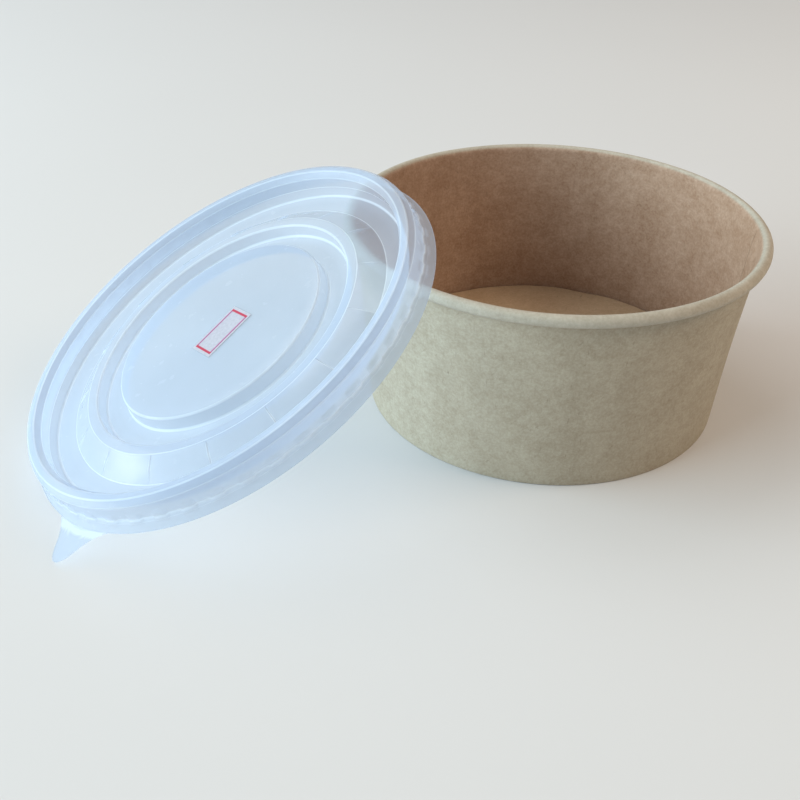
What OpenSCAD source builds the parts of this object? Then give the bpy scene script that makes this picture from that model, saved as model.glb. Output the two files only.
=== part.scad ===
// Round kraft paper bowl with a rolled rim, and its clear push-on lid taken off and leaning on it.
// Millimetres, +Z up. The origin is on the bowl's axis, in the plane of its foot.
// The lid leans towards the bowl along +X, with its low edge at -X on the table.

/* [Bowl] */
// Outer diameter of the rolled rim
rim_d = 150; // [142:1:190]
// Height from the table to the top of the rim
bowl_h = 70; // [45:1:95]
// Outer diameter of the foot
foot_d = 130; // [100:1:138]
// Thickness of the wall paper
wall_t = 0.5; // [0.4:0.05:0.7]
// Diameter of the rolled rim's section
curl_d = 4.2; // [3.4:0.1:5]
// Angle left open between the end of the roll and the wall
curl_open = 55; // [45:5:90]

/* [Base] */
// Height of the base disc above the table
base_lift = 10; // [6:0.5:14]
// Thickness of the base paper
base_t = 0.5; // [0.4:0.05:0.7]
// Height of the wall paper folded up inside the foot
fold_h = 4.5; // [3:0.5:5]
// Room for the glue between two layers of paper
glue_gap = 0.05; // [0.02:0.01:0.1]

/* [Side seam] */
// Width of the overlap where the wall paper is joined
lap_w = 9; // [5:0.5:14]
// Direction of the overlap, seen from above
lap_az = -30; // [-90:1:90]

/* [Lid] */
// Thickness of the lid's sheet
lid_t = 0.45; // [0.3:0.05:0.6]
// Room between the lid's channel and the rolled rim
lid_fit = 0.35; // [0.2:0.05:0.6]
// Height of the lid from its lower edge to its top bead
lid_h = 11; // [8:0.5:14]
// How far the skirt flares out past the channel
flare = 2.8; // [2:0.1:4]
// Radius of the formed corners
lid_bend = 0.9; // [0.7:0.1:1.2]

/* [Lid top] */
// Height of the plain ring inside the bead, above the lower edge
ring_w = 1; // [0.8:0.1:2]
// Diameter of the plain ring's inner edge
ring_d = 123; // [118:1:128]
// Height of the raised step, above the lower edge
step_w = 5.6; // [4:0.1:7]
// Outer diameter of the raised step
step_d = 106.4; // [103:0.5:112]
// Width of the raised step
step_len = 3.9; // [3:0.1:5]
// Diameter of the raised centre disc
disc_d = 79; // [60:1:88]
// Height of the raised centre disc, above the lower edge
disc_w = 6.1; // [4:0.1:8]
// Number of panels around the sloping band
panels = 16; // [8:1:24]
// Height of the step between two panels
panel_rise = 0.45; // [0.2:0.05:0.7]
// Direction of the first panel's edge
panel_az = 4; // [0:1:22]

/* [Lid skirt] */
// Number of grip bumps around the skirt
bumps = 48; // [24:4:60]
// Height of the skirt's step, above the lower edge
bump_w = 3.2; // [2.6:0.1:3.6]
// Height of a grip bump
bump_h = 2; // [1:0.1:2.6]

/* [Lid tab] */
// Length of the pull tab from the skirt's edge
tab_l = 14; // [8:0.5:14]
// Width of the pull tab at its root
tab_w = 21; // [14:1:26]
// Radius of the tab's tip
tab_tip = 3.5; // [2:0.5:4]
// Angle that the tab bends down past its stiff band, where the table leaves room
tab_bend = 8; // [0:1:10]
// Direction of the tab on the lid
tab_az = 213; // [211:1:250]

/* [Lid at rest] */
// Room between the rolled rim and the wall of the lid's raised step
seat_play = 2.6; // [1:0.1:4]
// Gap where the lid meets the table and the rim
rest_gap = 0.25; // [0.2:0.05:0.4]

/* [Label] */
// Length of the label on the centre disc
label_l = 20; // [10:1:30]
// Width of the label
label_w = 11.6; // [8:0.2:16]
// Thickness of the label
label_t = 0.12; // [0.1:0.02:0.2]
// Turn of the label on the lid
label_turn = 20; // [0:5:90]
// Place of the label's middle on the lid, towards the bowl
label_x = 0.8; // [-8:0.1:8]
// Place of the label's middle on the lid, to the side
label_y = -4.2; // [-8:0.1:8]

/* [Hidden] */
$fn = 96;

rim_r = rim_d / 2;
curl_r = curl_d / 2;
foot_r = foot_d / 2;
curl_x = rim_r - curl_r;
curl_z = bowl_h - curl_r;
neck_r = rim_r - curl_d + wall_t;
curl_lap = 10;
lap_angle = lap_w / (PI * neck_r) * 180;
lap_top = curl_z - wall_t;

// Foot: each layer of paper lies inside the one before it.
skirt_in = wall_t + glue_gap;
flap_in = skirt_in + base_t + glue_gap;
foot_in = flap_in + wall_t;

// Lid: the channel takes the rolled rim, the plug goes inside it.
channel_r = rim_r + lid_fit + lid_t;
plug_r = rim_r - curl_d - lid_fit - lid_t;
edge_r = channel_r + flare;
ring_r = ring_d / 2;
step_r = step_d / 2;
step_in_r = step_r - step_len;
disc_r = disc_d / 2;
wall_draft = 0.7;
seal_w = 4.5;
seal_out = 0.3;
crest_in = 1.6;
crest_drop = 2.2;
bump_top = bump_w + bump_h;
bump_out = 0.9;
panel_thin = 0.12;
panel_lap = 0.3;
split_r = (ring_r + plug_r) / 2;
lean_least = 10;
lean_most = 60;

// Outer radius of the wall at a height.
function wall_r(z) = foot_r + (neck_r - foot_r) * z / curl_z;

function unit(v) = v / norm(v);

// A path with its inner corners rounded to a radius, where the straights leave room for it.
function arc_point(c, a, b, k) =
    let (v = (a - c) * (1 - k) + (b - c) * k) c + unit(v) * norm(a - c);
function corner(p, q, s, r, n) =
    let (
        a = unit(p - q),
        b = unit(s - q),
        half = acos(max(-1, min(1, a * b))) / 2,
        cut = min(r / tan(half), norm(p - q) * 0.45, norm(s - q) * 0.45),
        c = q + unit(a + b) * cut / cos(half)
    )
    [for (k = [0:n]) arc_point(c, q + a * cut, q + b * cut, k / n)];
function rounded(path, r, n = 3) = [
    path[0],
    for (i = [1:len(path) - 2]) each corner(path[i - 1], path[i], path[i + 1], r, n),
    path[len(path) - 1]
];

// The same path moved sideways by the sheet's thickness, to its right.
function side(a, b) = let (d = unit(b - a)) [d[1], -d[0]];
function parallel(path, t) = [
    for (i = [0:len(path) - 1])
        let (
            m = side(path[max(0, i - 1)], path[max(1, i)]),
            k = side(path[min(len(path) - 2, i)], path[min(len(path) - 1, i + 1)])
        )
        path[i] + t * (m + k) / (1 + m * k)
];
function backwards(path) = [for (i = [len(path) - 1:-1:0]) path[i]];
function sheet(path, t) = concat(path, backwards(parallel(path, t)));

// Section of the lid's upper face, from its axis to its lower edge.
lid_path = [
    [0, disc_w],
    [disc_r, disc_w],
    [disc_r + wall_draft, ring_w],
    [step_in_r - wall_draft, ring_w],
    [step_in_r, step_w],
    [step_r, step_w],
    [ring_r, ring_w],
    [plug_r - wall_draft, ring_w],
    [plug_r + seal_out, seal_w],
    [plug_r, lid_h - crest_drop],
    [plug_r + crest_in, lid_h],
    [channel_r - crest_in, lid_h],
    [channel_r, lid_h - crest_drop],
    [channel_r, bump_w],
    [channel_r + bump_out, bump_w - bump_out],
    [edge_r, 0]
];

// The lid's lower face, from its axis to the plug, and the lowest corners of its skirt.
under = parallel([for (i = [0:8]) lid_path[i]], lid_t);
skirt_end = parallel([lid_path[14], lid_path[15]], lid_t);
low_corners = [lid_path[15], skirt_end[1]];

// Distance from a point to a straight piece of a section.
function off_piece(p, a, b) =
    let (k = max(0, min(1, (p - a) * (b - a) / ((b - a) * (b - a))))) norm(p - a - k * (b - a));
function under_gap(p) =
    let (d = min([for (i = [0:len(under) - 2]) off_piece(p, under[i], under[i + 1])]))
    lookup(p[0], under) > p[1] ? d : -d;

// The lid's low edge lies on the table and the rim lies in the hollow under its raised step.
function lid_up(tilt) = max([for (p = low_corners) p[0] * sin(tilt) - p[1] * cos(tilt)]) + rest_gap;
function lid_off(tilt) =
    curl_x + (step_in_r + curl_r + seat_play - (curl_z - lid_up(tilt)) * sin(tilt)) / cos(tilt);
function rim_gap(tilt) =
    min([
        for (a = [0:2:60])
            let (
                x = lid_off(tilt) - curl_x * cos(a),
                y = curl_x * sin(a),
                z = curl_z - lid_up(tilt)
            )
            under_gap([norm([x * cos(tilt) + z * sin(tilt), y]), z * cos(tilt) - x * sin(tilt)])
    ]) - curl_r;

// The lean at which the lid's lower face comes down to the rim, found by halving.
function settle(low, high, n) =
    let (mid = (low + high) / 2)
    n == 0 ? mid : rim_gap(mid) > rest_gap ? settle(low, mid, n - 1) : settle(mid, high, n - 1);
lean = settle(lean_least, lean_most, 20);
lid_x = -lid_off(lean);
lid_z = lid_up(lean);

module on_lid() {
    translate([lid_x, 0, lid_z])
        rotate([0, -lean, 0])
            children();
}

// Wall paper: tapered side, rim rolled outwards, foot folded in and up, joined by a side seam.
module wall_section() {
    polygon([
        [foot_r, 0],
        [neck_r, curl_z],
        [neck_r - wall_t, curl_z],
        [wall_r(wall_t) - wall_t, wall_t],
        [wall_r(wall_t) - flap_in, wall_t],
        [wall_r(fold_h) - flap_in, fold_h],
        [wall_r(fold_h) - foot_in, fold_h],
        [foot_r - foot_in, 0]
    ]);
}

module curl_section() {
    translate([curl_x, curl_z])
        difference() {
            circle(curl_r);
            circle(curl_r - wall_t);
            polygon([
                [0, 0],
                curl_d * [-cos(curl_lap), -sin(curl_lap)],
                2 * curl_d * [-cos(curl_lap + 20), -sin(curl_lap + 20)],
                curl_d * [-cos(curl_open), -sin(curl_open)]
            ]);
        }
}

module lap_section() {
    polygon([
        [wall_r(base_lift) - wall_t / 2, base_lift + glue_gap],
        [wall_r(lap_top) - wall_t / 2, lap_top],
        [wall_r(lap_top) - 2 * wall_t, lap_top],
        [wall_r(base_lift) - 2 * wall_t, base_lift + glue_gap]
    ]);
}

module sidewall() {
    color([0.72, 0.66, 0.55]) {
        rotate_extrude()
            union() {
                wall_section();
                curl_section();
            }
        rotate([0, 0, lap_az])
            rotate_extrude(angle = lap_angle)
                lap_section();
    }
}

// Base paper: a disc with its edge turned down into the fold of the foot.
module base_disc() {
    top_r = wall_r(base_lift) - skirt_in;
    low_z = wall_t + glue_gap;
    low_r = wall_r(low_z) - skirt_in;
    color([0.68, 0.6, 0.48])
        rotate_extrude()
            polygon([
                [0, base_lift - base_t],
                [0, base_lift],
                [top_r, base_lift],
                [low_r, low_z],
                [low_r - base_t, low_z],
                [top_r - base_t, base_lift - base_t]
            ]);
}

// One sloping panel: a thin wedge on the band, from flush at one edge to a full step at the next.
module panel(wide) {
    slope = unit([ring_r - step_r, ring_w - step_w]);
    up = [-slope[1], slope[0]];
    inner = [step_r, step_w] + slope * lid_bend;
    outer = [ring_r, ring_w] - slope * lid_bend;
    low = -lid_t / 2;
    thin = min(panel_thin, panel_rise);
    stations = [for (k = [0:4]) k / 4];
    ring = [
        for (s = stations)
            let (high = thin + s * (panel_rise - thin), a = s * (wide + panel_lap))
            for (p = [inner + up * low, inner + up * high, outer + up * high, outer + up * low])
                [p[0] * cos(a), p[0] * sin(a), p[1]]
    ];
    n = len(stations);
    polyhedron(
        points = ring,
        faces = [
            [0, 1, 2, 3],
            [4 * n - 1, 4 * n - 2, 4 * n - 3, 4 * n - 4],
            for (i = [0:n - 2])
                for (j = [0:3])
                    [4 * i + j, 4 * i + 4 + j, 4 * i + 4 + (j + 1) % 4, 4 * i + (j + 1) % 4]
        ]
    );
}

// One grip bump on the skirt.
module bump(wide) {
    rotate([0, 0, -wide / 2])
        rotate_extrude(angle = wide)
            polygon([
                [channel_r - lid_t / 2, bump_w],
                [channel_r + bump_out - lid_t / 2, bump_w - bump_out - lid_t / 2],
                [channel_r + bump_out * 0.85, bump_top - bump_out],
                [channel_r - lid_t / 2, bump_top]
            ]);
}

// Pull tab: a flat stiff band at the skirt's edge, then a plate that bends down to a round tip.
module tab() {
    root = edge_r - lid_t;
    root_a = asin(tab_w * 0.8 / root);
    band = edge_r + tab_l * 0.3;
    tip = edge_r + tab_l;
    top = lid_t * 0.7;
    low_x = (tip - tab_tip) * cos(tab_az) - tab_tip;
    table_w = (rest_gap - lid_z - low_x * sin(lean)) / cos(lean);
    drop = min((tip - band) * tan(tab_bend), top - lid_t - table_w);
    outline = rounded([
        root * [cos(root_a), -sin(root_a)],
        [edge_r + lid_t, -tab_w / 2],
        [tip + tab_tip * 0.6, 0],
        [edge_r + lid_t, tab_w / 2],
        root * [cos(root_a), sin(root_a)]
    ], tab_tip, 8);
    difference() {
        intersection() {
            translate([0, 0, -lid_h])
                linear_extrude(2 * lid_h)
                    polygon(outline);
            rotate([90, 0, 0])
                linear_extrude(2 * tab_w, center = true)
                    polygon([
                        [root * cos(root_a), top - lid_t],
                        [root * cos(root_a), top],
                        [band, top],
                        [tip + lid_t, top - drop],
                        [tip + lid_t, top - drop - lid_t],
                        [band, top - lid_t]
                    ]);
        }
        cylinder(r = root, h = 4 * lid_h, center = true);
    }
}

// One formed sheet, cut on its plain ring into the recessed top and the rim around it.
module lid_sheet() {
    polygon(sheet(rounded(lid_path, lid_bend), lid_t));
}

// Lid top: the recessed centre with its disc, raised step and sloping panels.
module lid_top() {
    wide = 360 / panels;
    color([0.78, 0.88, 0.96, 0.6])
        on_lid() {
            rotate_extrude()
                intersection() {
                    lid_sheet();
                    square([split_r, lid_h]);
                }
            for (i = [0:panels - 1])
                rotate([0, 0, panel_az + i * wide])
                    panel(wide);
        }
}

// Lid rim: plug wall, bead over the bowl's rim, flared skirt with grip bumps and pull tab.
module lid_rim() {
    pitch = 360 / bumps;
    color([0.78, 0.88, 0.96, 0.6])
        on_lid() {
            rotate_extrude()
                intersection() {
                    lid_sheet();
                    translate([split_r, -lid_h])
                        square([rim_r, 3 * lid_h]);
                }
            for (i = [0:bumps - 1])
                rotate([0, 0, i * pitch])
                    bump(pitch * 0.55);
            rotate([0, 0, tab_az])
                tab();
        }
}

// Plain paper label stuck on the centre disc.
module label() {
    color([0.95, 0.94, 0.9])
        on_lid()
            translate([label_x, label_y, disc_w + glue_gap + label_t / 2])
                rotate([0, 0, label_turn])
                    cube([label_l, label_w, label_t], center = true);
}

sidewall();
base_disc();
lid_top();
lid_rim();
label();
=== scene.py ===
import math

import bmesh
import bpy
import numpy as np
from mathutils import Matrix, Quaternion, Vector


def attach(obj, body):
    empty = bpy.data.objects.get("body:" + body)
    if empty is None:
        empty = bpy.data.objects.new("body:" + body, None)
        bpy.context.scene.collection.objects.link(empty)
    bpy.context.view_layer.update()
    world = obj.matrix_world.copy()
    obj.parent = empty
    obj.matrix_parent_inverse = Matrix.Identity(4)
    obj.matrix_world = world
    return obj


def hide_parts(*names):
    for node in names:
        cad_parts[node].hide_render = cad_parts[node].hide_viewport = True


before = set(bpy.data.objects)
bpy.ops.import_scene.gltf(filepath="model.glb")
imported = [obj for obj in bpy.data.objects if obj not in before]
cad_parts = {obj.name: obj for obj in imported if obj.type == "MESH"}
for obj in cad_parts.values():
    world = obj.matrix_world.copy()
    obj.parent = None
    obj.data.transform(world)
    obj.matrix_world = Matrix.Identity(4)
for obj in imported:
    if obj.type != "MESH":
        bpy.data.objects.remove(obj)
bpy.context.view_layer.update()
scene = bpy.context.scene
scene.view_settings.view_transform = "Standard"
mm = 0.001


# Camera at the photo's angle
view = {"place": (-173.7, -322.3, 227.0), "target": (-73.4, -45.3, 35.0), "roll": 1.27, "lens": 49.5}
cameraData = bpy.data.cameras.new("camera")
cameraData.lens = view["lens"]
cameraData.clip_start = 0.01
cameraData.clip_end = 50
camera = bpy.data.objects.new("camera", cameraData)
scene.collection.objects.link(camera)
scene.camera = camera
camera.location = Vector(view["place"]) * mm
aim = (Vector(view["target"]) - Vector(view["place"])).to_track_quat("-Z", "Y")
camera.rotation_mode = "QUATERNION"
camera.rotation_quaternion = aim @ Quaternion((0, 0, 1), math.radians(view["roll"]))
print("camera done")


# Node values that can be calculated with
class Wire:
    def __init__(self, tree, out=None):
        self.tree = tree
        self.out = out

    def make(self, kind, settings, inputs, pick=0):
        node = self.tree.nodes.new(kind)
        for key, value in settings.items():
            setattr(node, key, value)
        for key, value in inputs.items():
            if isinstance(value, Wire):
                self.tree.links.new(value.out, node.inputs[key])
            else:
                node.inputs[key].default_value = value
        return Wire(self.tree, node.outputs[pick])

    def math(self, operation, *values):
        return self.make("ShaderNodeMath", {"operation": operation}, dict(enumerate(values)))

    def __add__(self, other):
        return self.math("ADD", self, other)

    def __radd__(self, other):
        return self.math("ADD", other, self)

    def __sub__(self, other):
        return self.math("SUBTRACT", self, other)

    def __rsub__(self, other):
        return self.math("SUBTRACT", other, self)

    def __mul__(self, other):
        return self.math("MULTIPLY", self, other)

    def __rmul__(self, other):
        return self.math("MULTIPLY", other, self)

    def stretch(self, scale):  # a vector times a vector
        return self.make("ShaderNodeVectorMath", {"operation": "MULTIPLY"}, {0: self, 1: scale})

    def ramp(self, low, high):  # 0 at low, 1 at high, eased
        settings = {"interpolation_type": "SMOOTHSTEP"}
        return self.make("ShaderNodeMapRange", settings, {"Value": self, "From Min": low, "From Max": high})

    def mix(self, low, high):  # a colour between two
        return self.make("ShaderNodeMix", {"data_type": "RGBA"}, {0: self, 6: low, 7: high}, 2)

    def noise(self, scale, detail=2.0, roughness=0.5):
        inputs = {"Vector": self, "Scale": scale, "Detail": detail, "Roughness": roughness}
        return self.make("ShaderNodeTexNoise", {}, inputs)


def newMaterial(name):
    material = bpy.data.materials.new(name)
    material.use_nodes = True
    material.node_tree.nodes.clear()
    return material, Wire(material.node_tree)


def coordinates(wire, kind):
    return wire.make("ShaderNodeTexCoord", {}, {}, {"uv": 2, "object": 3}[kind])


def attribute(wire, name):
    return wire.make("ShaderNodeAttribute", {"attribute_name": name}, {}, 2)


def bump(wire, height, strength, distance):
    return wire.make("ShaderNodeBump", {}, {"Strength": strength, "Distance": distance, "Height": height})


def finishShader(wire, shader):
    output = wire.tree.nodes.new("ShaderNodeOutputMaterial")
    wire.tree.links.new(shader.out, output.inputs["Surface"])


# Mesh helpers
def ease(x, low, high):
    t = np.clip((x - low) / (high - low), 0, 1)
    return t * t * (3 - 2 * t)


def roundPath(path, radius, steps):
    path = [np.array(p, float) for p in path]
    out = [path[0]]
    for before, here, after in zip(path, path[1:], path[2:]):
        a = (before - here) / np.linalg.norm(before - here)
        b = (after - here) / np.linalg.norm(after - here)
        half = math.acos(max(-1, min(1, float(a @ b)))) / 2
        room = 0.45 * min(np.linalg.norm(before - here), np.linalg.norm(after - here))
        cut = min(radius / math.tan(half), room)
        middle = here + (a + b) / np.linalg.norm(a + b) * cut / math.cos(half)
        for k in range(steps + 1):
            way = (here + a * cut - middle) * (1 - k / steps) + (here + b * cut - middle) * k / steps
            out.append(middle + way / np.linalg.norm(way) * np.linalg.norm(here + a * cut - middle))
    out.append(path[-1])
    return np.array(out)


def splitPath(path, longest):
    out = [path[0]]
    for a, b in zip(path, path[1:]):
        parts = max(1, math.ceil(np.linalg.norm(b - a) / longest))
        out += [a + (b - a) * k / parts for k in range(1, parts + 1)]
    return np.array(out)


def pathNormals(path):
    along = np.gradient(path, axis=0)
    along /= np.linalg.norm(along, axis=1)[:, None]
    return np.stack([-along[:, 1], along[:, 0]], 1)


def pathLengths(path):
    return np.concatenate([[0], np.cumsum(np.linalg.norm(np.diff(path, axis=0), axis=1))])


def gridMesh(name, grid, across, along, ringed=False, values=None):
    rows, columns = grid.shape[:2]
    last = columns if ringed else columns - 1
    i, j = np.meshgrid(np.arange(rows - 1), np.arange(last), indexing="ij")
    k = (j + 1) % columns
    faces = np.stack([i * columns + j, i * columns + k, (i + 1) * columns + k, (i + 1) * columns + j], -1)
    uv = np.stack([
        np.stack([across[j], along[i]], -1),
        np.stack([across[j + 1], along[i]], -1),
        np.stack([across[j + 1], along[i + 1]], -1),
        np.stack([across[j], along[i + 1]], -1),
    ], -2)
    mesh = bpy.data.meshes.new(name)
    mesh.from_pydata((grid.reshape(-1, 3) * mm).tolist(), [], faces.reshape(-1, 4).tolist())
    layer = mesh.uv_layers.new(name="sheet")
    layer.data.foreach_set("uv", (uv.reshape(-1) * mm).tolist())
    for key, value in (values or {}).items():
        numbers = value.reshape(-1).astype(float).tolist()
        mesh.attributes.new(key, "FLOAT", "POINT").data.foreach_set("value", numbers)
    piece = bpy.data.objects.new(name, mesh)
    scene.collection.objects.link(piece)
    return piece


def joinPieces(name, parts):
    bpy.ops.object.select_all(action="DESELECT")
    for part in parts:
        part.select_set(True)
    bpy.context.view_layer.objects.active = parts[0]
    if len(parts) > 1:
        bpy.ops.object.join()
    piece = parts[0]
    piece.name = piece.data.name = name
    return piece


def cleanMesh(piece, sharp):  # welds, closes hidden ends, and keeps edges crisp above an angle
    work = bmesh.new()
    work.from_mesh(piece.data)
    bmesh.ops.remove_doubles(work, verts=work.verts, dist=0.002 * mm)
    bmesh.ops.holes_fill(work, edges=[edge for edge in work.edges if edge.is_boundary])
    bmesh.ops.recalc_face_normals(work, faces=work.faces)
    work.to_mesh(piece.data)
    work.free()
    piece.data.shade_smooth()
    piece.data.set_sharp_from_angle(angle=math.radians(sharp))


def place(piece, material, slot, *nodes):
    piece.data.materials.append(material)
    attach(piece, "root")
    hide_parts(*nodes)


def lathe(section, angles):  # section points turned about the axis, one column an angle
    turn = np.radians(angles)
    return np.stack([
        section[:, 0, None] * np.cos(turn),
        section[:, 0, None] * np.sin(turn),
        np.repeat(section[:, 1, None], len(angles), 1),
    ], -1)


# Kraft paper
def kraftMaterial(name, look):
    material, wire = newMaterial(name)
    sheet = coordinates(wire, "uv")
    clouds = sheet.noise(look["clouds"], 3)
    patches = sheet.noise(look["patches"], 3, 0.6)
    grain = sheet.noise(look["grain"], 3, 0.7)
    tone = clouds.ramp(0.3, 0.7) * look["cloudShare"] + patches.ramp(0.3, 0.7) * look["patchShare"]
    tone = tone + grain.ramp(0.3, 0.7) * look["grainShare"]
    filmAndPaintedLight = attribute(wire, "filmAndPaintedLight") * look["filmAndPaintedLight"]
    paper = tone.mix(look["dark"], look["light"])
    # Inside the film the paper takes its painted inside colours, besides the film's real gloss: painted shade
    # and bounced light on the wall, painted light on the base
    paper = filmAndPaintedLight.mix(paper, tone.mix(look["paintedInsideDark"], look["paintedInsideLight"]))
    upright = sheet.stretch((1, look["stretch"], 1)).noise(look["fibres"], 1)
    across = sheet.stretch((look["stretch"], 1, 1)).noise(look["fibres"], 1)
    slanting = {"Vector": sheet, "Angle": look["slant"]}
    slanted = wire.make("ShaderNodeVectorRotate", {"rotation_type": "Z_AXIS"}, slanting)
    slanted = slanted.stretch((1, look["stretch"], 1)).noise(look["fibres"] * 0.8, 1)
    strands = upright.ramp(0.68, 0.78) + slanted.ramp(0.7, 0.8) + across.ramp(0.74, 0.84)
    paper = (strands * look["strand"]).mix(paper, look["fibre"])
    pale = attribute(wire, "pale") * look["pale"]
    paper = pale.mix(paper, tone.mix(look["edgeDark"], look["edgeLight"]))
    paper = (attribute(wire, "cut") * look["cutDark"]).mix(paper, look["fibre"])
    shader = wire.make("ShaderNodeBsdfPrincipled", {}, {
        "Base Color": paper,
        "Roughness": look["rough"] - filmAndPaintedLight * look["filmGloss"] + grain * 0.1,
        "Specular IOR Level": look["specular"],
        "Coat Weight": filmAndPaintedLight * look["coat"],
        "Coat Roughness": look["coatRough"],
        "Normal": bump(wire, grain * 0.6 + patches * 0.5 + upright * 0.3, look["relief"], look["depth"] * mm),
    })
    finishShader(wire, shader)
    return material


# Bowl wall with its rolled rim, folded foot and side seam
bowl = {
    "rim": 75.0, "height": 70.0, "foot": 65.0, "paper": 0.5, "roll": 2.1, "rollEnd": -125,
    "fold": 4.5, "flap": 1.35, "footBend": 0.35, "seam": -26.4, "columns": 360, "rows": 3.2, "rollRows": 30,
    "unroll": 70,
    "dent": 0.16, "wave": 0.12, "waveFrom": 60, "waveTo": 69, "bareFrom": 9.0, "bareTo": 7.6,
    "lapFrom": -30.0, "lapTo": -22.8, "lapThin": 3.5, "lapLow": 10.1, "lapHigh": 0.8, "lapFade": 5,
    "lapSunk": 0.06, "lapSkin": 0.02, "lapColumns": 13, "lapRows": 26, "lapBack": 30, "lapAside": 90,
}
rollX = bowl["rim"] - bowl["roll"]
rollZ = bowl["height"] - bowl["roll"]
neck = rollX - bowl["roll"] + bowl["paper"]


def wallRadius(z):
    return bowl["foot"] + (neck - bowl["foot"]) * z / rollZ


def paperMiddle():  # the sheet's middle line from the flap over the foot and up to the end of the roll
    half = bowl["paper"] / 2
    low = [
        (wallRadius(bowl["fold"]) - bowl["flap"], bowl["fold"]),
        (wallRadius(half) - bowl["flap"], half),
        (wallRadius(half) - half, half),
        (neck - half, rollZ),
    ]
    rising = splitPath(roundPath(low, bowl["footBend"], 4), bowl["rows"])
    turn = np.radians(np.linspace(180, bowl["rollEnd"], bowl["rollRows"]))[1:]
    middle = bowl["roll"] - half
    roll = np.stack([rollX + middle * np.cos(turn), rollZ + middle * np.sin(turn)], 1)
    return np.concatenate([rising, roll])


def buildWall():
    path = paperMiddle()
    normals = pathNormals(path)
    half = bowl["paper"] / 2
    inner = path + normals * half
    outer = path - normals * half
    section = np.concatenate([outer, inner[::-1], outer[:1]])
    run = pathLengths(path)
    along = np.concatenate([run, run[::-1], run[:1]])
    angles = bowl["seam"] + np.arange(bowl["columns"]) * 360 / bowl["columns"]
    grid = lathe(section, angles)
    turn = np.radians(angles)
    height = np.clip(section[:, 1] / rollZ, 0, 1)
    soft = np.sin(height * math.pi)[:, None]  # nothing at the foot and the rim
    dents = np.sin(3 * turn + 1.1) + 0.7 * np.sin(5 * turn + 4 * height[:, None]) - 1.7  # inwards only
    high = ease(section[:, 1], bowl["waveFrom"], bowl["waveTo"])[:, None]
    waves = np.sin(4 * turn + 0.6) + 0.4 * np.sin(11 * turn) - 1.4
    push = bowl["dent"] * soft * dents + bowl["wave"] * high * waves / 2
    grid[..., 0] += push * np.cos(turn)
    grid[..., 1] += push * np.sin(turn)
    grid[..., 2] += bowl["wave"] * high * (np.sin(2 * turn + 2.0) + 0.5 * np.sin(7 * turn) - 1.5) / 2
    count = len(path)
    inside = np.concatenate([np.zeros(count), np.ones(count), np.zeros(1)])
    onRoll = ease(along, run[-1] - bowl["bareFrom"], run[-1] - bowl["bareTo"])  # no film and no painted inside shade on the rim
    ones = np.ones(len(angles))
    # The inside face takes the film's gloss and the painted inside shade
    values = {"pale": onRoll[:, None] * ones, "filmAndPaintedLight": (inside * (1 - onRoll))[:, None] * ones}
    across = np.radians(np.concatenate([angles, angles[:1] + 360])) * bowl["unroll"]
    piece = gridMesh("wallSheet", grid, across, along, True, values)

    # The overlap inside: one crisp edge, and a thin side that runs out under the other layer
    columns = bowl["lapColumns"]
    strip = np.linspace(bowl["lapFrom"], bowl["lapTo"], columns)
    thick = bowl["paper"] * ease(strip, bowl["lapFrom"], bowl["lapFrom"] + bowl["lapThin"])
    heights = np.linspace(bowl["lapLow"], rollZ + bowl["lapHigh"], bowl["lapRows"])
    fade = 1 - ease(heights, rollZ - bowl["lapFade"], rollZ + bowl["lapHigh"])[:, None]
    layers = []
    for depth in (0, 1):
        radius = wallRadius(heights)[:, None] - bowl["paper"] + bowl["lapSunk"]
        radius = radius - depth * (thick * fade + bowl["lapSkin"])
        layers.append(np.stack([
            radius * np.cos(np.radians(strip)),
            radius * np.sin(np.radians(strip)),
            np.repeat(heights[:, None], columns, 1),
        ], -1))
    loop = np.concatenate([layers[1], layers[0][:, ::-1]], 1)
    stripRun = np.radians(strip) * bowl["unroll"]
    lapAcross = np.concatenate([stripRun, stripRun[::-1] + bowl["lapBack"], [0]]) + bowl["lapAside"]
    cut = np.zeros(loop.shape[:2])
    cut[:, columns - 1:columns + 1] = 1
    # The overlap lies inside: film gloss and painted inside shade all over
    lapValues = {"filmAndPaintedLight": np.ones(loop.shape[:2]), "cut": cut}
    lap = gridMesh("lapSheet", loop, lapAcross, heights, True, lapValues)
    piece = joinPieces("bowlWall", [piece, lap])
    cleanMesh(piece, 50)
    return piece


kraft = {
    "clouds": 70.0, "patches": 330.0, "grain": 1050.0, "fibres": 1300.0, "stretch": 0.2, "strand": 0.3,
    "dark": (0.305, 0.25, 0.178, 1), "light": (0.46, 0.405, 0.312, 1), "fibre": (0.13, 0.085, 0.05, 1),
    # The inside colours are painted shade: darker and warmer than the outside, standing in for the bowl's
    # shaded, bounced light
    "paintedInsideDark": (0.255, 0.145, 0.085, 1), "paintedInsideLight": (0.46, 0.315, 0.225, 1), "filmAndPaintedLight": 1.0,
    "edgeDark": (0.37, 0.325, 0.255, 1), "edgeLight": (0.50, 0.455, 0.375, 1), "pale": 0.85,
    "cloudShare": 0.25, "patchShare": 0.3, "grainShare": 0.45, "slant": 0.7, "cutDark": 0.8,
    "rough": 0.78, "filmGloss": 0.26, "specular": 0.35, "coat": 0.5, "coatRough": 0.38,
    "relief": 0.5, "depth": 0.2,
}
wallPaper = kraftMaterial("wallPaper", kraft)
place(buildWall(), wallPaper, "wall_paper", "sidewall")
print("bowl wall done")


# Base paper: a disc a little wavy at its edge, with its skirt turned down into the foot
base = {
    "lift": 10.0, "paper": 0.5, "gap": 0.55, "low": 0.6, "columns": 240, "bend": 0.7,
    "wave": 0.3, "edgeFrom": 55, "edgeTo": 65, "flatFrom": 6, "flatTo": 9,
    "sag": 0.35, "pull": 0.35, "pullWave": 0.45, "aside": 300,
}


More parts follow.
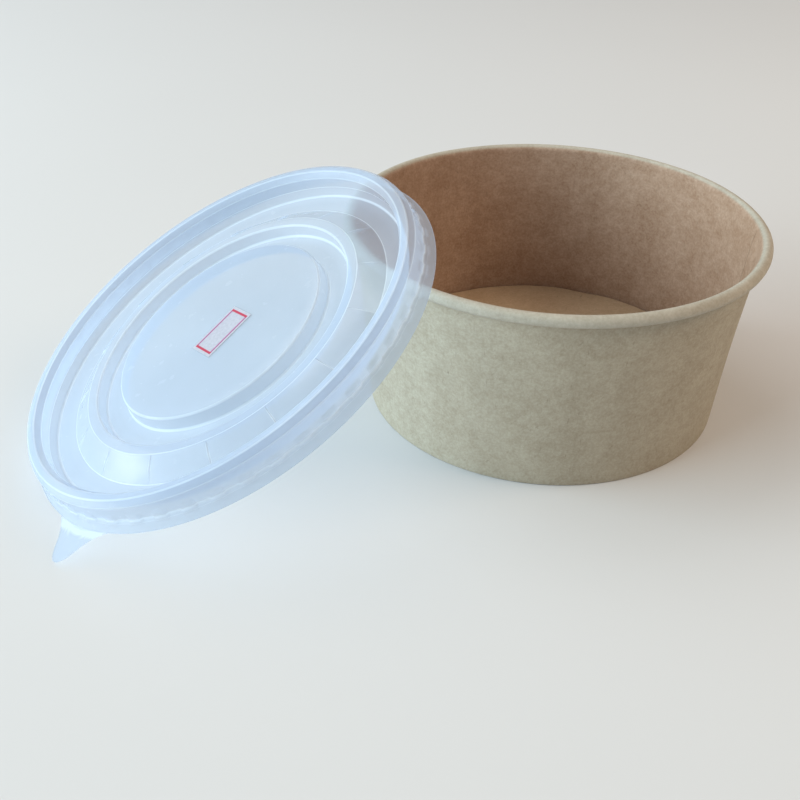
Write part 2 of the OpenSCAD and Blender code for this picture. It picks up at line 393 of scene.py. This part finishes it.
def buildBase():
    top = wallRadius(base["lift"]) - base["gap"]
    foot = wallRadius(base["low"]) - base["gap"]
    half = base["paper"] / 2
    middle = base["lift"] - half
    path = roundPath([(0, middle), (top - half, middle), (foot - half, base["low"])], base["bend"], 5)
    path = splitPath(path, 4)
    normals = pathNormals(path)
    upper = path + normals * half
    lower = path - normals * half
    upper[0, 0] = lower[0, 0] = 0
    section = np.concatenate([upper, lower[::-1]])
    run = pathLengths(path)
    along = np.concatenate([run, run[::-1]])
    angles = np.arange(base["columns"]) * 360 / base["columns"]
    grid = lathe(section, angles)
    turn = np.radians(angles)
    radius = section[:, 0]
    flat = ease(section[:, 1], base["flatFrom"], base["flatTo"])
    edge = (ease(radius, base["edgeFrom"], base["edgeTo"]) * flat)[:, None]
    wave = np.sin(9 * turn + 0.5) + 0.6 * np.sin(14 * turn + 2.0) + 0.5 * np.sin(23 * turn + 1.0)
    grid[..., 2] -= base["wave"] * edge * (wave + 2.1) / 2.1
    sag = (1 - ease(radius, 0, base["edgeFrom"])) * flat
    grid[..., 2] -= base["sag"] * sag[:, None]
    uneven = (np.sin(6 * turn + 2.4) + 0.7 * np.sin(17 * turn) + 1.7) / 3.4
    pull = edge * (base["pull"] + base["pullWave"] * uneven)
    grid[..., 0] -= pull * np.cos(turn)
    grid[..., 1] -= pull * np.sin(turn)
    upperRows = np.arange(len(section)) < len(path)
    # The upper face takes the film's gloss and the painted inside light
    values = {"filmAndPaintedLight": upperRows[:, None] * np.ones(len(angles))}
    piece = gridMesh("bowlBase", grid, np.append(angles, 360), along, True, values)
    # Flat paper: its texture is laid out in plan, away from the wall's
    aside = base["aside"] * mm
    lift = base["lift"] * mm
    for loop, corner in zip(piece.data.uv_layers["sheet"].data, piece.data.loops):
        point = piece.data.vertices[corner.vertex_index].co
        loop.uv = (point.x + aside, point.y + aside + (lift - point.z))
    cleanMesh(piece, 50)
    return piece


# The base's inside colours are painted light: lighter than the wall's, to make up for the little light that
# reaches the base
basePaper = kraftMaterial("basePaper", kraft | {
    "paintedInsideDark": (0.42, 0.28, 0.165, 1), "paintedInsideLight": (0.60, 0.44, 0.28, 1), "coat": 0.35,
})
place(buildBase(), basePaper, "base_paper", "base_disc")
print("base done")


# Lid: one formed sheet, in its own frame and then leaned on the rim
lid = {
    "sheet": 0.45, "bend": 0.9, "rows": 5, "skirtRows": 0.8, "unroll": 60,
    "lean": 30.633, "place": (-119.355, 0.0, 40.369),
    "path": [  # radius and height of the sheet's upper side, from the middle outwards
        (0, 6.1), (39.5, 6.1), (40.2, 1), (48.6, 1), (49.3, 5.6), (53.2, 5.6), (61.5, 1), (69.3, 1),
        (70.3, 4.5), (70, 8.8), (71.6, 11), (74.2, 11), (75.8, 8.8), (75.8, 3.2), (76.7, 2.3), (78.6, 0),
    ],
    "panels": 16, "panelFrom": 4.0, "panelRise": 0.45, "bandIn": (53.6, 54.8), "bandOut": (60.4, 61.6),
    "bumps": 48, "bumpOut": 0.45, "warp": 0.12,
    "tabAt": 213.0, "tabHalf": 10.0, "tabBand": 2.6, "tabRise": 0.3, "tabBendAt": 3.9, "tabDrop": 1.0,
    "tabOutline": [  # degrees to each side of the tab's middle, and how far it reaches there
        (0, 13.3), (0.9, 13.0), (1.8, 12.0), (2.5, 10.8), (3.2, 9.2),
        (4.3, 6.4), (5.8, 3.8), (7.2, 2.2), (8.8, 0.8), (10, 0),
    ],
    "tabSteps": (0.1, 0.2, 0.27, 0.4, 0.55, 0.7, 0.87, 1.0),
}


def lidAngles():  # even columns, with more of them at panel edges, bumps and the tab
    marks = list(np.arange(0, 360, 2.4))
    panel = 360 / lid["panels"]
    for k in range(lid["panels"]):
        edge = lid["panelFrom"] + k * panel
        marks += [edge - 0.6, edge - 0.25, edge, edge + 0.3]
    pitch = 360 / lid["bumps"]
    for k in range(lid["bumps"]):
        for step in (-0.31, -0.2, 0.2, 0.31):
            marks.append((k + step) * pitch)
    marks += list(np.arange(lid["tabAt"] - lid["tabHalf"], lid["tabAt"] + lid["tabHalf"] + 0.01, 0.4))
    marks = np.unique(np.round(np.array(marks) % 360, 2))
    keep = np.concatenate([[True], np.diff(marks) > 0.05])
    return marks[keep]


def tabReach(angles):  # length of the pull tab past the skirt's edge
    off = np.abs((angles - lid["tabAt"] + 180) % 360 - 180)
    return np.interp(off, *zip(*lid["tabOutline"]))


def leanOnBowl(piece):  # from the lid's own frame to its place against the rim
    lean = Quaternion((0, 1, 0), -math.radians(lid["lean"])).to_matrix().to_4x4()
    piece.data.transform(lean)
    for vertex in piece.data.vertices:
        vertex.co += Vector(lid["place"]) * mm


def buildLid():
    angles = lidAngles()
    turn = np.radians(angles)
    path = splitPath(roundPath(lid["path"], lid["bend"], 3), lid["rows"])
    skirt = next(k for k in range(len(path)) if path[k, 0] > 75 and path[k, 1] < 9)
    path = np.concatenate([path[:skirt], splitPath(path[skirt:], lid["skirtRows"])])
    normals = pathNormals(path)
    normals[0] = (0, 1)
    run = pathLengths(path)
    radius = path[:, 0]
    height = path[:, 1]

    # Sloping panels: flush at one edge, one step up at the next
    wide = 360 / lid["panels"]
    saw = ((angles - lid["panelFrom"]) % wide) / wide
    saw = np.minimum(saw * 1.02, 1 - ease(saw, 0.991, 1.0))
    band = (ease(radius, *lid["bandIn"]) * (1 - ease(radius, *lid["bandOut"])))[:, None]
    lift = lid["panelRise"] * band * saw
    slope = np.array([4.6, 8.3]) / math.hypot(4.6, 8.3)  # square to the sloping band

    # Grip bumps that raise the skirt's ledge
    pitch = 360 / lid["bumps"]
    away = np.abs((angles + pitch / 2) % pitch - pitch / 2) / pitch
    raised = 1 - ease(away, 0.2, 0.31)
    onSkirt = ((radius > 75.2) & (run > run[-1] - 12)).astype(float)
    zone = (onSkirt * (1 - ease(height, 4.4, 5.3)) * ease(height, 1.6, 2.9))[:, None]
    out = lid["bumpOut"] * zone * raised

    # A formed sheet is never quite flat, except under the label
    flat = (ease(radius, 8, 30) * (1 - ease(radius, 62, 72)))[:, None]
    warp = lid["warp"] * flat * (np.sin(2 * turn + 0.7) + np.sin(3 * turn + radius[:, None] / 17))

    # Pull tab: more rows past the edge, only as far as its outline
    reach = tabReach(angles)
    outward = np.stack([np.cos(turn), np.sin(turn), np.zeros(len(turn))], -1)
    drop = math.tan(math.radians(lid["tabDrop"]))
    faces = []
    for depth in (0, lid["sheet"]):
        section = path - normals * depth
        section[0, 0] = 0
        grid = lathe(section, angles)
        for push in (lift * slope[0], out):
            grid[..., 0] += push * np.cos(turn)
            grid[..., 1] += push * np.sin(turn)
        grid[..., 2] += lift * slope[1]
        grid[..., 2] += warp
        rows = [grid]
        for step in lid["tabSteps"]:
            far = reach * step
            point = grid[-1] + outward * far[:, None]
            bent = np.clip(far - lid["tabBendAt"], 0, None) * drop
            point[:, 2] += lid["tabRise"] * ease(far, 0, 0.9) - bent
            rows.append(point[None])
        faces.append(np.concatenate(rows))
    section = np.concatenate([faces[0], faces[1][::-1]])
    length = np.concatenate([run, run[-1] + np.arange(1, len(lid["tabSteps"]) + 1) * 1.5])
    along = np.concatenate([length, length[::-1]])

    # Where the sheet was stretched it is whiter: bends, panel edges and the tab's root, partly real stress
    # whitening and partly painted highlight lines
    direction = np.unwrap(np.arctan2(normals[:, 1], normals[:, 0]))
    curve = np.abs(np.gradient(direction)) / np.maximum(np.gradient(run), 0.05)
    bends = np.clip(curve * 0.9, 0, 1)[:, None] * np.ones(len(angles))
    fromEdge = np.abs((angles - lid["panelFrom"] + wide / 2 + 0.15) % wide - wide / 2)
    steps = band * (1 - ease(fromEdge, 0.2, 0.5))
    tabRows = np.stack([
        1 - ease(reach * step, lid["tabBand"], lid["tabBand"] + 0.8) for step in lid["tabSteps"]
    ])
    stressAndGlint = np.concatenate([np.maximum(bends, steps), tabRows * (reach > 0.5)])
    values = {"stressAndGlint": np.concatenate([stressAndGlint, stressAndGlint[::-1]])}
    across = np.radians(np.append(angles, angles[0] + 360)) * lid["unroll"]
    piece = gridMesh("lidSheet", section, across, along, True, values)
    cleanMesh(piece, 40)
    leanOnBowl(piece)
    return piece


plastic = {
    # The pale colour and extra cover for stretched places paint them whiter and more opaque: stress whitening
    # and painted highlight lines
    "haze": (0.675, 0.71, 0.79, 1), "whiteAndGlint": (0.90, 0.94, 0.98, 1), "tint": (0.86, 0.92, 0.97, 1),
    "mist": 28, "fine": 260, "whitenAndGlint": 0.8, "mistWhiten": 0.15,
    "cover": 0.36, "stressAndGlint": 0.2, "mottle": 0.05,
    "rough": 0.22, "relief": 0.06, "depth": 2.0, "through": 0.5, "shadow": 0.9,
    "sheen": 0.045, "sheenRough": 0.2,
}


def lidMaterial():
    material, wire = newMaterial("lidPlastic")
    spot = coordinates(wire, "object")
    mist = spot.noise(plastic["mist"], 2)
    fine = spot.noise(plastic["fine"], 3)
    stressAndGlint = attribute(wire, "stressAndGlint")
    # Stretched places painted whiter: stress whitening with painted highlight lines
    paleness = stressAndGlint * plastic["whitenAndGlint"] + mist.ramp(0.4, 0.7) * plastic["mistWhiten"]
    colour = paleness.mix(plastic["haze"], plastic["whiteAndGlint"])
    cover = plastic["cover"] + stressAndGlint * plastic["stressAndGlint"] + (mist - 0.5) * plastic["mottle"]
    relief = bump(wire, mist + fine * 0.05, plastic["relief"], plastic["depth"] * mm)
    body = wire.make("ShaderNodeBsdfPrincipled", {}, {
        "Base Color": colour,
        "Roughness": plastic["rough"] + fine * 0.08,
        "IOR": 1.49,
        "Normal": relief,
    })
    glow = wire.make("ShaderNodeBsdfTranslucent", {}, {"Color": plastic["haze"]})
    milk = wire.make("ShaderNodeMixShader", {}, {0: plastic["through"], 1: body, 2: glow})
    clear = wire.make("ShaderNodeBsdfTransparent", {}, {"Color": plastic["tint"]})
    shadowRay = wire.make("ShaderNodeLightPath", {}, {}, 1)  # thin plastic passes most of a lamp's light on
    sheet = wire.make("ShaderNodeMixShader", {}, {0: cover, 1: clear, 2: milk})
    gloss = wire.make("ShaderNodeBsdfGlossy", {}, {"Roughness": plastic["sheenRough"]})
    sheet = wire.make("ShaderNodeMixShader", {}, {0: plastic["sheen"], 1: sheet, 2: gloss})
    passed = wire.make("ShaderNodeBsdfTransparent", {}, {})
    sheet = wire.make("ShaderNodeMixShader", {}, {0: shadowRay * plastic["shadow"], 1: sheet, 2: passed})
    finishShader(wire, sheet)
    return material


place(buildLid(), lidMaterial(), "lid_sheet", "lid_top", "lid_rim")
print("lid done")


# Plain label with a line border, stuck on the lid's disc
label = {
    "long": 20.0, "wide": 11.6, "thick": 0.108, "curl": 0.015, "turn": 20.0, "at": (0.8, -4.2, 6.15),
    "paperDark": (0.37, 0.36, 0.40, 1), "paperLight": (0.44, 0.43, 0.47, 1),
    "shortLine": (0.9, 1.1, 1.7, 2.0), "shortInk": (0.42, 0.015, 0.05, 1),  # in from the short ends
    "longLine": (0.8, 1.0, 1.4, 1.7), "longInk": (0.30, 0.03, 0.16, 1),  # in from the long sides
}


def buildLabel():
    xs = np.linspace(-label["long"] / 2, label["long"] / 2, 25)
    ys = np.linspace(-label["wide"] / 2, label["wide"] / 2, 15)
    x, y = np.meshgrid(xs, ys)
    curl = label["curl"] * (np.abs(x) / (label["long"] / 2)) ** 6
    turn = math.radians(label["turn"])
    layers = []
    for z in (label["thick"], 0):
        px = x * math.cos(turn) - y * math.sin(turn) + label["at"][0]
        py = x * math.sin(turn) + y * math.cos(turn) + label["at"][1]
        pz = label["at"][2] + z + curl
        layers.append(gridMesh("labelLayer", np.stack([px, py, pz], -1), xs, ys))
    piece = joinPieces("labelPaper", layers)
    work = bmesh.new()
    work.from_mesh(piece.data)
    bmesh.ops.bridge_loops(work, edges=[edge for edge in work.edges if edge.is_boundary])  # the cut edge
    bmesh.ops.recalc_face_normals(work, faces=work.faces)
    work.to_mesh(piece.data)
    work.free()
    leanOnBowl(piece)
    piece.data.shade_smooth()
    piece.data.set_sharp_from_angle(angle=math.radians(50))
    return piece


def labelMaterial():
    material, wire = newMaterial("labelPaper")
    uv = coordinates(wire, "uv")
    x = wire.make("ShaderNodeSeparateXYZ", {}, {0: uv}, 0)
    y = wire.make("ShaderNodeSeparateXYZ", {}, {0: uv}, 1)
    fromShort = label["long"] / 2 * mm - wire.math("ABSOLUTE", x)
    fromLong = label["wide"] / 2 * mm - wire.math("ABSOLUTE", y)
    short = [distance * mm for distance in label["shortLine"]]
    long = [distance * mm for distance in label["longLine"]]
    insideShort = fromShort.ramp(short[0], short[1])
    insideLong = fromLong.ramp(long[0], long[1])
    shortLine = insideShort * (1 - fromShort.ramp(short[2], short[3])) * insideLong
    longLine = insideLong * (1 - fromLong.ramp(long[2], long[3])) * insideShort
    grain = uv.noise(900, 3)
    paper = grain.ramp(0.3, 0.7).mix(label["paperDark"], label["paperLight"])
    paper = (longLine * 0.95).mix(paper, label["longInk"])
    paper = (shortLine * 0.95).mix(paper, label["shortInk"])
    shader = wire.make("ShaderNodeBsdfPrincipled", {}, {
        "Base Color": paper, "Roughness": 0.5 + grain * 0.1, "Normal": bump(wire, grain, 0.1, 0.0001),
    })
    finishShader(wire, shader)
    return material


place(buildLabel(), labelMaterial(), "label_paper", "label")
print("label done")


# Floor and light
stage = {
    "size": 12.0, "dark": (0.62, 0.61, 0.60, 1), "light": (0.65, 0.64, 0.63, 1),
    "air": (1.0, 0.96, 0.92, 1), "airStrength": 0.34, "lampAim": (-0.06, 0, 0.03),
}
floorMesh = bpy.data.meshes.new("floor")
side = stage["size"] / 2
corners = [(-side, -side, 0), (side, -side, 0), (side, side, 0), (-side, side, 0)]
floorMesh.from_pydata(corners, [], [(0, 1, 2, 3)])
floor = bpy.data.objects.new("floor", floorMesh)
scene.collection.objects.link(floor)
floorMaterial, wire = newMaterial("floorPaper")
soft = coordinates(wire, "object").noise(3, 2)
floorShader = wire.make("ShaderNodeBsdfPrincipled", {}, {
    "Base Color": soft.mix(stage["dark"], stage["light"]), "Roughness": 0.85,
})
finishShader(wire, floorShader)
floorMesh.materials.append(floorMaterial)

world = bpy.data.worlds.new("world")
scene.world = world
world.use_nodes = True
background = world.node_tree.nodes["Background"]
background.inputs["Color"].default_value = stage["air"]
background.inputs["Strength"].default_value = stage["airStrength"]

lamps = [
    {
        "name": "window", "at": (-1.52, 0.18, 0.52), "size": (1.8, 0.9),
        "watts": 47, "colour": (0.67, 0.885, 1.0), "mirrored": False,
    },
    {
        "name": "lowWindow", "at": (-1.5, 0.66, 0.2), "size": (0.5, 0.3),
        "watts": 1.8, "colour": (0.86, 0.95, 1.0), "mirrored": True,
    },
    {
        "name": "top", "at": (-0.6, 0.9, 1.5), "size": (1.4, 1.4),
        "watts": 10, "colour": (0.98, 0.99, 1.0), "mirrored": True,
    },
    {
        "name": "warmRoom", "at": (1.1, -0.55, 1.05), "size": (0.8, 0.6),
        "watts": 12, "colour": (1.0, 0.80, 0.60), "mirrored": False,
    },
]
for lamp in lamps:
    light = bpy.data.lights.new(lamp["name"], "AREA")
    light.shape = "RECTANGLE"
    light.size, light.size_y = lamp["size"]
    light.energy = lamp["watts"]
    light.color = lamp["colour"]
    shown = bpy.data.objects.new(lamp["name"], light)
    shown.visible_camera = False
    shown.visible_glossy = lamp["mirrored"]
    shown.location = lamp["at"]
    shown.rotation_mode = "QUATERNION"
    shown.rotation_quaternion = (Vector(stage["lampAim"]) - Vector(lamp["at"])).to_track_quat("-Z", "Y")
    scene.collection.objects.link(shown)
print("stage done")
